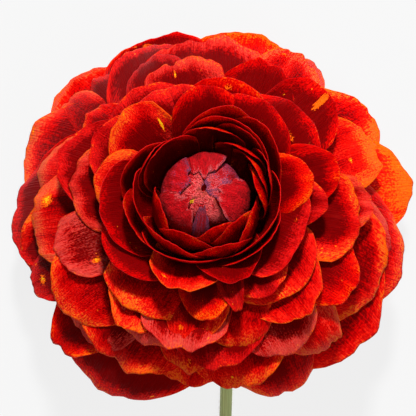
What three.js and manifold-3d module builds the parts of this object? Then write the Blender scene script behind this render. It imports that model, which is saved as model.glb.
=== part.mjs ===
// Persian buttercup: one fully double bloom, cut with its stem and laid on a table.
// Millimetres, +Z up. The table is z = 0 and the stem runs off along -Y.
// The bloom is built in its own frame (radius from its axis, height above its receptacle)
// and then leaned and lifted onto the bent neck of the stem.

import * as THREE from 'three';
import { mergeVertices } from 'three/addons/utils/BufferGeometryUtils.js';
import Module from 'manifold-3d';

const wasm = await Module();
wasm.setup();

// ---- Driving sizes: millimetres and degrees ----

const BLOOM_LIFT = 18;          // receptacle top above the table
const LEAN_BACK = 12;           // bloom axis leans towards +Y
const LEAN_SIDE = 3;            // and a little towards -X
const BLADE = 0.62;             // thickness of a petal blade
const WIDE_COLUMNS = 4;         // facets across a broad or strongly bent blade
const NARROW_COLUMNS = 3;       // and across the others
const TIP_CROWDING = 1.4;       // facets along a blade draw together towards its tip
const GOLDEN_ANGLE = 137.508;   // turn from one petal to the next
const ROUND_FACETS = 20;        // facets round the receptacle and the sepals' ring

const HEART_COUNT = 8;
const HEART_SEED = 11;
const HEART_ROWS = 3;           // facets along each of its blades
const HEART_FACETS = 12;        // facets round the bud's ball
const BOWL_SEED = 29;
const BOWL_ROWS = 2;
const CORE_FACETS = 16;
const SEPAL_COUNT = 5;
const SEPAL_ROWS = 2;

// ---- Materials ----

const petalFinish = new THREE.MeshStandardMaterial({ color: 0xb3140c, roughness: 0.62, metalness: 0 });
const heartFinish = new THREE.MeshStandardMaterial({ color: 0xb04a5e, roughness: 0.75, metalness: 0 });
const sepalFinish = new THREE.MeshStandardMaterial({ color: 0x8f9d5c, roughness: 0.7, metalness: 0 });
const stemFinish = new THREE.MeshStandardMaterial({ color: 0x84945a, roughness: 0.55, metalness: 0 });

// ---- Small helpers ----

const radians = (degrees) => (degrees * Math.PI) / 180;
const mix = (a, b, t) => a + (b - a) * t;

// Seeded draws between two values, the same on every run.
function drawsFrom(seed) {
  const multiplier = 16807;
  const modulus = 2147483647;
  let state = seed;
  return (low, high) => {
    state = (state * multiplier) % modulus;
    return mix(low, high, state / modulus);
  };
}

// Straight-line reading between hand-set stops, each [position, value].
function along(stops, position) {
  if (position <= stops[0][0]) return stops[0][1];
  for (let i = 1; i < stops.length; i += 1) {
    const [x1, y1] = stops[i];
    const [x0, y0] = stops[i - 1];
    if (position <= x1) return mix(y0, y1, (position - x0) / (x1 - x0));
  }
  return stops[stops.length - 1][1];
}

// The lean and lift that carry the bloom's own frame onto the table's.
const bloomPose = new THREE.Matrix4()
  .makeTranslation(0, 0, BLOOM_LIFT)
  .multiply(new THREE.Matrix4().makeRotationX(radians(-LEAN_BACK)))
  .multiply(new THREE.Matrix4().makeRotationY(radians(-LEAN_SIDE)));

// ---- One petal ----

const CLAW_SHARE = 0.3;         // half width at the root, as a share of the widest
const WIDEST_AT = 0.62;         // how far along the petal it is widest
const TIP_NARROWING = 0.08;     // share of the width lost from there to the tip
const ROUNDNESS = 2.3;          // how squarely the tip's edge turns into the sides

function petalOf(values) {
  return {
    azimuth: 0,
    root: [4, 2],
    tip: [40, 10],
    leave: 60,
    arrive: 0,
    leavePull: 0.4,
    arrivePull: 0.36,
    halfWidth: 15,
    shoulder: 0.34,
    skew: 0,
    hug: 1,
    cup: 0,
    roll: 0,
    from: 0,
    ...values,
  };
}

// The midrib is a cubic in (radius, height): it leaves the root at one angle
// and arrives at the tip at another, both measured up from level.
function midrib(petal, v) {
  const [r0, h0] = petal.root;
  const [r3, h3] = petal.tip;
  const span = Math.hypot(r3 - r0, h3 - h0);
  const leave = radians(petal.leave);
  const arrive = radians(petal.arrive);
  const r1 = r0 + span * petal.leavePull * Math.cos(leave);
  const h1 = h0 + span * petal.leavePull * Math.sin(leave);
  const r2 = r3 - span * petal.arrivePull * Math.cos(arrive);
  const h2 = h3 - span * petal.arrivePull * Math.sin(arrive);
  const w = 1 - v;
  const r = w * w * w * r0 + 3 * w * w * v * r1 + 3 * w * v * v * r2 + v * v * v * r3;
  const h = w * w * w * h0 + 3 * w * w * v * h1 + 3 * w * v * v * h2 + v * v * v * h3;
  const dr = w * w * (r1 - r0) + 2 * w * v * (r2 - r1) + v * v * (r3 - r2);
  const dh = w * w * (h1 - h0) + 2 * w * v * (h2 - h1) + v * v * (h3 - h2);
  const length = Math.hypot(dr, dh) || 1;
  return { r, h, tr: dr / length, th: dh / length };
}

// Half width along the petal as a share of its widest: a claw, then a broad rounded blade.
function broadness(v) {
  if (v < WIDEST_AT) return mix(CLAW_SHARE, 1, Math.sin((Math.PI / 2) * (v / WIDEST_AT)));
  return 1 - TIP_NARROWING * ((v - WIDEST_AT) / (1 - WIDEST_AT)) ** 2;
}

// A point of the petal's middle surface in the bloom's frame; u runs -1..1 across, v 0..1 out.
// The steeper the petal stands, the more it wraps round the bloom's axis.
function petalPoint(petal, u, v) {
  const tightest = 2.5;
  const out = v * (1 - petal.shoulder * Math.abs(u) ** ROUNDNESS + petal.skew * u * v);
  const { r, h, tr, th } = midrib(petal, out);
  const side = u * petal.halfWidth * broadness(out);
  const bend = (th / Math.max(r, tightest)) * petal.hug + petal.cup;
  const turn = side * bend;
  const straight = Math.abs(bend) < 1e-4;
  const across = straight ? side : Math.sin(turn) / bend;
  const inward = straight ? 0 : (1 - Math.cos(turn)) / bend;
  const off = inward + petal.roll * side * out;
  const radius = r - th * off;
  const height = h + tr * off;
  const azimuth = radians(petal.azimuth);
  return new THREE.Vector3(
    radius * Math.cos(azimuth) - across * Math.sin(azimuth),
    radius * Math.sin(azimuth) + across * Math.cos(azimuth),
    height,
  );
}

function petalNormal(petal, u, v) {
  const step = 0.02;
  const across = petalPoint(petal, u + step, v).sub(petalPoint(petal, u - step, v));
  const outward = petalPoint(petal, u, v + step).sub(petalPoint(petal, u, v - step));
  return across.cross(outward).normalize();
}

// A closed blade: two like grids half a thickness each side of the middle surface,
// split along the same diagonals, and a wall round their edge. Where it meets the table
// it lies flat on it.
function bladeGeometry(petal, rows, columns) {
  const positions = [];
  const faces = [];
  const layer = (columns + 1) * (rows + 1);
  for (const side of [1, -1]) {
    for (let j = 0; j <= rows; j += 1) {
      for (let i = 0; i <= columns; i += 1) {
        const u = (2 * i) / columns - 1;
        const v = mix(petal.from, 1, 1 - (1 - j / rows) ** TIP_CROWDING);
        const normal = petalNormal(petal, u, v);
        const point = petalPoint(petal, u, v).addScaledVector(normal, (side * BLADE) / 2);
        point.applyMatrix4(bloomPose);
        point.z = Math.max(point.z, side * normal.z > 0 ? BLADE : 0);
        positions.push(point.x, point.y, point.z);
      }
    }
  }
  const at = (i, j) => j * (columns + 1) + i;
  const rim = [];
  for (let i = 0; i < columns; i += 1) rim.push(at(i, 0));
  for (let j = 0; j < rows; j += 1) rim.push(at(columns, j));
  for (let i = columns; i > 0; i -= 1) rim.push(at(i, rows));
  for (let j = rows; j > 0; j -= 1) rim.push(at(0, j));
  for (let j = 0; j < rows; j += 1) {
    for (let i = 0; i < columns; i += 1) {
      const [a, b, c, d] = [at(i, j), at(i + 1, j), at(i + 1, j + 1), at(i, j + 1)];
      faces.push(a, b, c, a, c, d);
      faces.push(layer + a, layer + c, layer + b, layer + a, layer + d, layer + c);
    }
  }
  rim.forEach((a, k) => {
    const b = rim[(k + 1) % rim.length];
    faces.push(a, layer + a, layer + b, a, layer + b, b);
  });
  const geometry = new THREE.BufferGeometry();
  geometry.setAttribute('position', new THREE.Float32BufferAttribute(positions, 3));
  geometry.setIndex(faces);
  return geometry;
}

// ---- Joining ----

function toSolid(geometry) {
  const bare = geometry.clone();
  bare.deleteAttribute('normal');
  bare.deleteAttribute('uv');
  const merged = mergeVertices(bare, 1e-4);
  return new wasm.Manifold(new wasm.Mesh({
    numProp: 3,
    vertProperties: new Float32Array(merged.attributes.position.array),
    triVerts: new Uint32Array(merged.index.array),
  }));
}

// Joins the solids and keeps the one large body, so sealed hollows fill and loose scraps go.
function fuse(geometries) {
  let joined = null;
  for (const geometry of geometries) {
    const solid = toSolid(geometry);
    joined = joined ? joined.add(solid) : solid;
  }
  const bodies = joined.decompose();
  bodies.sort((a, b) => b.volume() - a.volume());
  const mesh = bodies[0].getMesh();
  const geometry = new THREE.BufferGeometry();
  geometry.setAttribute('position', new THREE.Float32BufferAttribute(mesh.vertProperties, 3));
  geometry.setIndex(new THREE.Uint32BufferAttribute(mesh.triVerts, 1));
  return geometry;
}

function turned(profile, segments) {
  const points = profile.map(([r, h]) => new THREE.Vector2(r, h));
  const lathe = new THREE.LatheGeometry(points, segments);
  lathe.rotateX(Math.PI / 2);
  return lathe;
}

function bladesOf(petals, rows, columns) {
  return petals.map((petal) => bladeGeometry(petal, rows, columns));
}

// ---- Petal rules ----

// Heart: a closed bud of petals whose tips meet at the eye.
function heartPetals() {
  const draw = drawsFrom(HEART_SEED);
  const petals = [];
  for (let i = 0; i < HEART_COUNT; i += 1) {
    const t = i / (HEART_COUNT - 1);
    petals.push(petalOf({
      azimuth: 40 + i * GOLDEN_ANGLE,
      root: [2.5 + 1.5 * t, 20],
      tip: [mix(1.2, 4.6, t) + draw(-0.3, 0.5), mix(39.4, 37.8, t)],
      leave: 28,
      arrive: mix(178, 160, t) + draw(-6, 6),
      leavePull: 0.62,
      arrivePull: 0.52,
      halfWidth: mix(7, 8.4, t),
      shoulder: 0.2,
      from: 0.12,
    }));
  }
  return petals;
}

// The bowl, from the red wraps that hug the heart out to its open rim: [azimuth, radius of the
// tip, half width, roll to one side] of each petal.
const BOWL = [
  [-69, 10, 8.5, -0.1], [-152, 12, 8.5, -0.2], [-48, 11.5, 9, -0.1], [4, 12.5, 7.5, 0.3],
  [-115, 13, 8, 0.1], [47, 13.5, 8, 0.3], [23, 13.5, 9, 0.2], [-40, 14, 8.5, 0.4],
  [137, 15, 10, -0.1], [82, 15, 9, 0], [-75, 16, 9, 0], [150, 16, 8, -0.1], [17, 16.5, 8, 0],
  [-125, 17, 10.5, 0], [55, 17.5, 8.5, 0], [-175, 18, 9, 0], [62, 18.5, 14, 0], [-29, 19.5, 15, 0],
  [161, 20, 9.5, -0.3], [-114, 20, 12, 0.1], [79, 21, 9.5, 0.4], [-155, 21, 10, 0],
  [-47, 21.5, 11.5, 0], [40, 21.5, 11.5, -0.1],
];

// How a bowl petal stands, by the radius of its tip.
const TIP_HEIGHT = [[9, 38.8], [13, 41], [17, 43.4], [20, 42.8], [22.5, 41]];
const TIP_ARRIVE = [[9, 146], [13, 120], [16, 104], [19, 90], [22.5, 78]];
const TIP_HUG = [[9, 1.35], [16, 1.3], [20, 1.15], [22.5, 1.1]];
const ROOT_LEAVE = [[9, 44], [13, 48], [17, 53], [22.5, 56]];
const ROOT_RADIUS = [[9, 3.5], [22.5, 5.5]];
const ROOT_HEIGHT = [[9, 16], [22.5, 10]];

function bowlPetals() {
  const draw = drawsFrom(BOWL_SEED);
  return BOWL.map(([azimuth, radius, halfWidth, roll]) => petalOf({
    azimuth,
    root: [along(ROOT_RADIUS, radius), along(ROOT_HEIGHT, radius)],
    tip: [radius, along(TIP_HEIGHT, radius) + draw(-0.6, 0.6)],
    leave: along(ROOT_LEAVE, radius),
    arrive: along(TIP_ARRIVE, radius) + draw(-4, 4),
    leavePull: 0.5,
    arrivePull: 0.4,
    halfWidth,
    shoulder: 0.22,
    roll,
    hug: along(TIP_HUG, radius),
    from: 0.6,
  }));
}

// The open tiers, placed as on the real bloom: [azimuth, reach, half width] of each petal.
const OUTER_TIER = [
  [107, 59, 21], [82, 57.5, 21], [62, 54.5, 13], [35, 53.5, 19], [12, 55, 17], [-14, 52.5, 20],
  [-42, 53.5, 22], [-67, 51.5, 15], [-96, 47, 14], [-123, 55, 23], [-139, 54.5, 12.5],
  [-160, 51.5, 11], [-170, 53, 15], [176, 54.5, 20], [155, 57.5, 20], [132, 59, 19],
  [116, 57.5, 15],
];
const MIDDLE_TIER = [
  [140, 55.5, 10.5], [128, 53, 8], [112, 53, 15], [92, 49.5, 17], [61, 51.5, 11.5], [23, 47.5, 11],
  [-13, 48.5, 12.5], [-24, 49, 16], [-52, 49.5, 9.5], [-79, 48.5, 13], [-96, 44.5, 11],
  [-122, 48.5, 17], [-133, 48.5, 12], [-177, 48, 13], [166, 50.5, 14],
];
const INNER_TIER = [
  [172, 37, 12], [159, 41.5, 13], [143, 41.5, 8.5], [111, 46.5, 10.5], [101, 42, 11], [67, 42, 11],
  [44, 43.5, 11], [-1, 43, 8], [-9, 40, 12], [-31, 44.5, 10.5], [-50, 39.5, 12], [-62, 45.5, 11.5],
  [-85, 44, 13], [-100, 40, 11.5], [-113, 41.5, 13], [-121, 39.5, 11], [-145, 47.5, 13],
  [-161, 42, 9.5],
];
const CROWN_TIER = [
  [170, 28.5, 9.5], [150, 33.5, 10], [139, 30.5, 10], [125, 35.5, 13], [124, 30, 11],
  [110, 31, 13], [87, 28.5, 10.5], [78, 32, 13], [56, 28, 12.5], [43, 34, 14], [12, 35, 9],
  [7, 27, 8.5], [-4, 30.5, 7.5], [-28, 27.5, 14], [-47, 34, 13.5], [-68, 32.5, 10], [-70, 25.5, 9],
  [-77, 37.5, 11.5], [-93, 33.5, 9.5], [-104, 27.5, 9.5], [-121, 35, 13], [-146, 29.5, 13],
  [-168, 27.5, 13],
];

const TIER_SLOPE = 0.9;         // how much lower a tip lies for each millimetre further out

// Height of a tip above the receptacle: the far side droops to the table, the near side lifts,
// and in one tier a longer petal lies under a shorter one.
function tierTipHeight(azimuth, reach, shape) {
  const level = mix(shape.far, shape.near, (1 - Math.sin(radians(azimuth))) / 2);
  return level - TIER_SLOPE * (reach - shape.reach);
}

function tierPetals(tier, shape) {
  const draw = drawsFrom(shape.seed);
  return tier.map(([azimuth, reach, halfWidth]) => petalOf({
    azimuth,
    root: shape.root,
    tip: [reach, tierTipHeight(azimuth, reach, shape) + draw(-0.8, 0.8)],
    leave: shape.leave,
    arrive: shape.arrive - shape.lean * (reach - shape.reach) + draw(-10, 10),
    halfWidth,
    leavePull: 0.42,
    arrivePull: 0.34,
    cup: draw(-0.022, 0.008),
    roll: draw(-0.09, 0.09),
    shoulder: shape.shoulder + draw(-0.06, 0.06),
    skew: draw(-0.04, 0.04),
    from: shape.from,
  }));
}

// Each tier with its root, the reach that its far and near tip heights are given for, the angles
// at which its midribs leave and arrive, how much flatter a longer petal arrives, and the share of
// the petal sunk in the core.
const TIERS = [
  [CROWN_TIER, {
    seed: 3, root: [6, 7], reach: 32, far: 30, near: 35, leave: 62, arrive: 6, lean: 4,
    shoulder: 0.18, from: 0.76, rows: 2, columns: NARROW_COLUMNS,
  }],
  [INNER_TIER, {
    seed: 5, root: [6, 5], reach: 42, far: 17, near: 27, leave: 56, arrive: -24, lean: 1.5,
    shoulder: 0.18, from: 0.76, rows: 2, columns: NARROW_COLUMNS,
  }],
  [MIDDLE_TIER, {
    seed: 7, root: [6, 3], reach: 49, far: 2, near: 17, leave: 50, arrive: -42, lean: 1.5,
    shoulder: 0.2, from: 0.72, rows: 2, columns: NARROW_COLUMNS,
  }],
  [OUTER_TIER, {
    seed: 13, root: [5.5, 1.4], reach: 54, far: -10, near: 8, leave: 40, arrive: -52, lean: 1.5,
    shoulder: 0.33, from: 0.2, rows: 3, columns: WIDE_COLUMNS,
  }],
];

// The smaller core that the petals stand out of, with a well for the heart.
const CORE_PROFILE = [
  [0, 0.4], [4.2, 0.4], [8, 3.2], [20, 13], [38, 13.5], [40, 21],
  [28, 34], [20, 37], [15.5, 36.5], [13, 24], [0, 18],
];

function petalsGeometry() {
  const core = turned(CORE_PROFILE, CORE_FACETS).applyMatrix4(bloomPose);
  const bowl = bladesOf(bowlPetals(), BOWL_ROWS, WIDE_COLUMNS);
  const tiers = TIERS.flatMap(([tier, shape]) => (
    bladesOf(tierPetals(tier, shape), shape.rows, shape.columns)
  ));
  return fuse([core, ...bowl, ...tiers]);
}

const HEART_BALL = [[0, 20.8], [6.2, 21.2], [8.1, 27], [8.1, 31.5], [6, 35.2], [0, 37]];

function heartGeometry() {
  const ball = turned(HEART_BALL, HEART_FACETS).applyMatrix4(bloomPose);
  return fuse([ball, ...bladesOf(heartPetals(), HEART_ROWS, WIDE_COLUMNS)]);
}

// ---- Stem and sepals ----

// The middle line of the stem from inside the receptacle, through the bent neck, to the cut end.
const STEM_LINE = [
  [0.1, -0.3, 15.6], [0.4, -1.1, 12.2], [0.8, -2.8, 8.6], [1.5, -6, 5.2], [2.3, -11, 2.9],
  [3.1, -18, 1.6], [3.8, -28, 1.4], [4, -45, 1.4], [3, -70, 1.4], [0.5, -100, 1.4], [-3.5, -132, 1.4],
];
const STEM_RADIUS = 1.7;
const STEM_SIDES = 8;
const STEM_STEPS = 34;

// Swollen top of the stem, drawn in the bloom's frame, that the petals and sepals grow from.
const RECEPTACLE = [[0, -6.5], [1.5, -6], [2.2, -4.4], [4.1, -1.4], [4.3, -0.2], [3.9, 0.1], [0, 0.1]];

function stemGeometry() {
  const line = new THREE.CatmullRomCurve3(STEM_LINE.map((p) => new THREE.Vector3(...p)));
  const section = new THREE.Shape();
  for (let i = 0; i < STEM_SIDES; i += 1) {
    const angle = (2 * Math.PI * (i + 0.5)) / STEM_SIDES;
    const [x, y] = [STEM_RADIUS * Math.cos(angle), STEM_RADIUS * Math.sin(angle)];
    if (i) section.lineTo(x, y);
    else section.moveTo(x, y);
  }
  section.closePath();
  const tube = new THREE.ExtrudeGeometry(section, { steps: STEM_STEPS, extrudePath: line });
  const position = tube.attributes.position;
  for (let i = 0; i < position.count; i += 1) position.setZ(i, Math.max(position.getZ(i), 0));
  return fuse([tube, turned(RECEPTACLE, ROUND_FACETS).applyMatrix4(bloomPose)]);
}

// Five sepals folded back under the bloom, joined by the ring that they grow from.
const SEPAL_RING = [[4.7, -2.6], [5.8, -2.4], [5.6, -0.2], [4.7, -0.2], [4.7, -2.6]];

function sepalsGeometry() {
  const sepals = [];
  for (let i = 0; i < SEPAL_COUNT; i += 1) {
    sepals.push(petalOf({
      azimuth: 18 + (i * 360) / SEPAL_COUNT,
      root: [5.2, -1.4],
      tip: [17.5, -6.4],
      leave: -4,
      arrive: -48,
      halfWidth: 5.6,
      shoulder: 0.5,
      cup: 0.05,
      hug: 0.4,
    }));
  }
  const ring = turned(SEPAL_RING, ROUND_FACETS).applyMatrix4(bloomPose);
  return fuse([ring, ...bladesOf(sepals, SEPAL_ROWS, WIDE_COLUMNS)]);
}

// ---- Assembly ----

function named(name, geometry, material) {
  const mesh = new THREE.Mesh(geometry, material);
  mesh.name = name;
  return mesh;
}

const flower = new THREE.Group();
flower.add(named('petals', petalsGeometry(), petalFinish));
flower.add(named('heart', heartGeometry(), heartFinish));
flower.add(named('sepals', sepalsGeometry(), sepalFinish));
flower.add(named('stem', stemGeometry(), stemFinish));

// The origin goes to the middle of the flower's footprint on the table.
const footprint = new THREE.Box3().setFromObject(flower).getCenter(new THREE.Vector3());
flower.position.set(-footprint.x, -footprint.y, 0);

export default flower;
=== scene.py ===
import math
from dataclasses import dataclass

import bmesh
import bpy
from mathutils import Matrix, Vector


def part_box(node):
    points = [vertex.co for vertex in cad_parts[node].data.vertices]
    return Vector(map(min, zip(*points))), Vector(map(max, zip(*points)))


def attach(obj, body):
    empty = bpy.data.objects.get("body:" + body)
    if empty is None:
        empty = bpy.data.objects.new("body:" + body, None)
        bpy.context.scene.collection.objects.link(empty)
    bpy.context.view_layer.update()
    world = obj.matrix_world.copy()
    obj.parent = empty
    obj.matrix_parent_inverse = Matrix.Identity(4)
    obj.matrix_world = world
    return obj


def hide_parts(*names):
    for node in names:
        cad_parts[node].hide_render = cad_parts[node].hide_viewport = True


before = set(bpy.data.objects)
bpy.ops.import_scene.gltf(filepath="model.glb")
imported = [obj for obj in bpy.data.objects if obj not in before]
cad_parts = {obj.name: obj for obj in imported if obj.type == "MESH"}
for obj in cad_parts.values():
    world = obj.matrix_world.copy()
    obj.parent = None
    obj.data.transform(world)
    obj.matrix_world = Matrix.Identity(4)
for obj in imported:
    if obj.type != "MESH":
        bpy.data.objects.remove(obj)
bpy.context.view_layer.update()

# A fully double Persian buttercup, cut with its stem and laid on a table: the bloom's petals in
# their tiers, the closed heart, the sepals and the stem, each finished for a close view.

bl_info = {
    "name": "Persian Buttercup",
    "version": (1, 0, 0),
    "blender": (4, 5, 0),
    "location": "3D View > Sidebar > Buttercup",
    "description": "Models a fully double Persian buttercup bloom cut with its stem",
    "category": "Add Mesh",
}

MM = 0.001

# The lying stem's reach in the flower's own millimetres, where its cut end and its bulge are;
# the frame's box of the stem then says where the flower's own origin stands.
STEM_CUT_END_Y = -132.2
STEM_BULGE_X = 5.68
STEM_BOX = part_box("stem")
ORIGIN = Vector((STEM_BOX[1].x - STEM_BULGE_X * MM, STEM_BOX[0].y - STEM_CUT_END_Y * MM, 0.0))


# ---- The petal rule, in millimetres and degrees ----

# A petal's claw as a share of its breadth, and how far out it is broadest.
CLAW_SHARE = 0.3
WIDEST_AT = 0.62
# A petal's length is longer than the straight line from its root to its tip.
SLACK = 1.15
# The tip falls back towards the sides by these (share, power) of the place across.
ROUNDING = ((0.9, 2.3), (0.3, 8))
# The least radius that a petal wraps round.
TIGHTEST = 2.5

# The margin's slow ripple, as (share, waves in half the breadth) of each of its three waves, and
# where the notches read it.
RIPPLES = ((0.55, 3.1), (0.3, 6.7), (0.15, 11.3))
NOTCH_SPREAD, NOTCH_SHIFT = 1.9, 1.0
# The outline runs straight between this many uneven corners, drawn from the petal's phases by
# these weights of the first, the second and the corner's number.
CORNERS = 6
CORNER_WEIGHTS = (5.7, 3.3, 2.9)
# The margin's small frill: its waves, how they bunch together, and how far it shows in the outline.
FRILL, FINE_FRILL = 19, 31
BUNCHING, BUNCHES = 2, 3
FRILLED_OUTLINE = 0.12
# Where a fold may lie across the petal, how broad it is, and how the petal's phases set its place
# and its height.
FOLD_REACH = 0.75
FOLD_BREADTH = 0.3
FOLD_PLACE, FOLD_HEIGHT = 2.3, 3.1
# How fast the middle of the blade swells across it and out along it.
SWELLS = (1.4, 2.5)
# Bends below this, in 1/mm, count as flat.
FLAT = 1e-4

# Seeds of the draws. The bowl and each tier add the first two to a seed of their own.
WAVES, LOOKS = 100, 200
HEART_WAVES, HEART_LOOKS = 111, 17
SEPAL_WAVES, SEPAL_LOOKS, SEPAL_DOWN = 171, 71, 73
STEM_DOWN = 79

# A petal's mark: its place across (-1 to 1) and out (0 to 1), half its breadth and length, its
# turn from the petal's own direction, its strength, about 0.6 for specks and 2 for a full mark,
# and how far its orange goes to yellow.
NO_MARK = (-9.0, -9.0, 1.0, 1.0, 0.0, 1.0, 0.0)

# A petal's tint: how warm its red is, and how much mauve dust lies on it. The warmth is partly
# the petal's own colour and partly painted light and shade, lower for petals in shade and higher
# for petals where the light falls.
# Painted shade: this tint and SHADED darken petals that lie in the shadow of other petals.
DEEP_SHADE = (0.12, 0.0)
MAROON = (0.36, 0.0)
SHADED = (0.2, 0.0)
RED = (0.3, 0.1)
BRIGHT = (0.44, 0.0)
FLUSHED = (0.46, 0.4)
WARM = (0.6, 0.12)
EMBER = (0.82, 0.15)
ORANGE = (1.0, 0.0)
DUSTY = (0.42, 0.75)
HAZY = (0.75, 0.55)
PALE = (0.85, 0.9)


def mix(a, b, t):
    return a + (b - a) * t


def along(stops, position):
    """Straight-line reading between given stops, each (position, value)."""
    if position <= stops[0][0]:
        return stops[0][1]
    for (x0, y0), (x1, y1) in zip(stops, stops[1:]):
        if position <= x1:
            return mix(y0, y1, (position - x0) / (x1 - x0))
    return stops[-1][1]


def draws_from(seed):
    """Seeded draws between two values, the same on every run."""
    multiplier = 16807
    modulus = 2147483647
    state = seed

    def draw(low, high):
        nonlocal state
        state = (state * multiplier) % modulus
        return mix(low, high, state / modulus)

    return draw


class Petal:
    """One petal: its midrib, its breadth, how it wraps and how its margin ripples."""

    # The midrib, from its root to its tip as (radius, height), with its slope at each.
    azimuth = 0.0
    root = (4.0, 2.0)
    tip = (40.0, 10.0)
    leave = 60.0
    arrive = 0.0
    leave_pull = 0.42
    arrive_pull = 0.34
    # The outline.
    half_width = 15.0
    shoulder = 0.33
    narrowing = 0.08
    skew = 0.0
    notch = 0.0
    torn = 0.0
    # How the blade wraps and turns, in shares of the bloom's own roundness and in 1/mm.
    hug = 1.0
    cup = 0.0
    dome = 0.0
    roll = 0.0
    # How far the blade and its margin stray, in millimetres.
    curl = 0.0
    ripple = 0.0
    crinkle = 0.0
    fold = 0.0
    swell = 0.0
    phases = (0.0, 0.0, 0.0)
    # Its colour.
    tint = RED
    mark = NO_MARK

    def __init__(self, **values):
        for name, value in values.items():
            if not hasattr(self, name):
                raise ValueError(f"a petal has no {name}")
            setattr(self, name, value)
        span = math.dist(self.root, self.tip)
        leave = math.radians(self.leave)
        arrive = math.radians(self.arrive)
        (r0, h0), (r3, h3) = self.root, self.tip
        pull = span * self.leave_pull
        hold = span * self.arrive_pull
        self.rib = (
            (r0, h0),
            (r0 + pull * math.cos(leave), h0 + pull * math.sin(leave)),
            (r3 - hold * math.cos(arrive), h3 - hold * math.sin(arrive)),
            (r3, h3),
        )
        self.length = SLACK * span
        turn = math.radians(self.azimuth)
        self.outward = (math.cos(turn), math.sin(turn))

    def midrib(self, v):
        """Radius and height at v, and the unit direction that the midrib runs in there."""
        (r0, h0), (r1, h1), (r2, h2), (r3, h3) = self.rib
        w = 1 - v
        a, b, c, d = w * w * w, 3 * w * w * v, 3 * w * v * v, v * v * v
        r = a * r0 + b * r1 + c * r2 + d * r3
        h = a * h0 + b * h1 + c * h2 + d * h3
        dr = w * w * (r1 - r0) + 2 * w * v * (r2 - r1) + v * v * (r3 - r2)
        dh = w * w * (h1 - h0) + 2 * w * v * (h2 - h1) + v * v * (h3 - h2)
        length = math.hypot(dr, dh) or 1.0
        return r, h, dr / length, dh / length

    def broadness(self, v):
        """Half width as a share of the widest: a claw, then a broad rounded blade."""
        if v < WIDEST_AT:
            return mix(CLAW_SHARE, 1.0, math.sin(math.pi / 2 * v / WIDEST_AT))
        return 1 - self.narrowing * ((v - WIDEST_AT) / (1 - WIDEST_AT)) ** 2

    def margin_wave(self, u):
        """A ripple along the margin, within -1 to 1, from three waves of the petal's own phases."""
        waves = zip(RIPPLES, self.phases)
        return sum(share * math.sin(count * u + phase) for (share, count), phase in waves)

    def corner(self, u):
        """How far the outline stands out or back at u, within -1 to 1."""
        p, q, _ = self.phases
        first, second, number = CORNER_WEIGHTS
        place = (u + 1) / 2 * CORNERS
        i = min(int(place), CORNERS - 1)
        start, end = (math.sin(first * p + number * k + second * q) for k in (i, i + 1))
        return mix(start, end, place - i)

    def fine_wave(self, u):
        """The small frill of the margin, within -1 to 1."""
        p, q, s = self.phases
        bunched = BUNCHING * math.sin(BUNCHES * u + q)
        return 0.6 * math.sin(FRILL * u + p + bunched) + 0.4 * math.sin(FINE_FRILL * u + s)

    def folded(self, u, v):
        """One stretch of the margin turned up or down."""
        _, q, s = self.phases
        place = FOLD_REACH * math.sin(FOLD_PLACE * s)
        return math.sin(FOLD_HEIGHT * q) * math.exp(-((u - place) / FOLD_BREADTH) ** 2) * v ** 5

    def point(self, u, v):
        """A point of the middle surface in the bloom's frame; u is -1..1 across, v 0..1 out."""
        uneven = self.notch * self.margin_wave(NOTCH_SPREAD * u + NOTCH_SHIFT)
        uneven += self.torn * self.corner(u)
        reach = 1 + (uneven + FRILLED_OUTLINE * self.torn * self.fine_wave(u)) * v ** 6
        drop = sum(share * abs(u) ** power for share, power in ROUNDING)
        out = v * reach * (1 - self.shoulder * drop + self.skew * u * v)
        r, h, tr, th = self.midrib(out)
        side = u * self.half_width * self.broadness(out)
        bend = th / max(r, TIGHTEST) * self.hug + self.cup
        if self.dome:
            bend = max(bend, self.dome)
        turn = side * bend
        if abs(bend) < FLAT:
            across, inward = side, 0.0
        else:
            across, inward = math.sin(turn) / bend, (1 - math.cos(turn)) / bend
        edge = max(abs(u) ** 4, v ** 5)
        off = inward + self.roll * side * out
        off += edge * out * (self.ripple * self.margin_wave(u) + self.curl * edge)
        off += self.swell * out * (1 - edge) * self.margin_wave(SWELLS[0] * u + SWELLS[1] * v)
        off += self.crinkle * edge ** 2 * self.fine_wave(u) + self.fold * self.folded(u, v)
        radius = r - th * off
        height = h + tr * off
        x, y = self.outward
        return Vector((radius * x - across * y, radius * y + across * x, height))

    def margin(self, u, v):
        """Distance from the edge of the blade, in millimetres."""
        tip = (1 - v) * self.length
        side = (1 - abs(u)) * self.half_width * self.broadness(v)
        return min(tip, side)

    def mark_place(self):
        """The middle of the petal's mark in its UV map, and its turn."""
        u, v = self.mark[:2]
        return Vector(((u + 1) / 2, v, math.radians(self.mark[4])))

    def mark_size(self):
        """Half the mark's breadth and length in petal lengths, and the petal's breadth in them."""
        wide, long = self.mark[2:4]
        return Vector((wide, long, 2 * self.half_width)) / self.length


# ---- Where the petals stand ----

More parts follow.
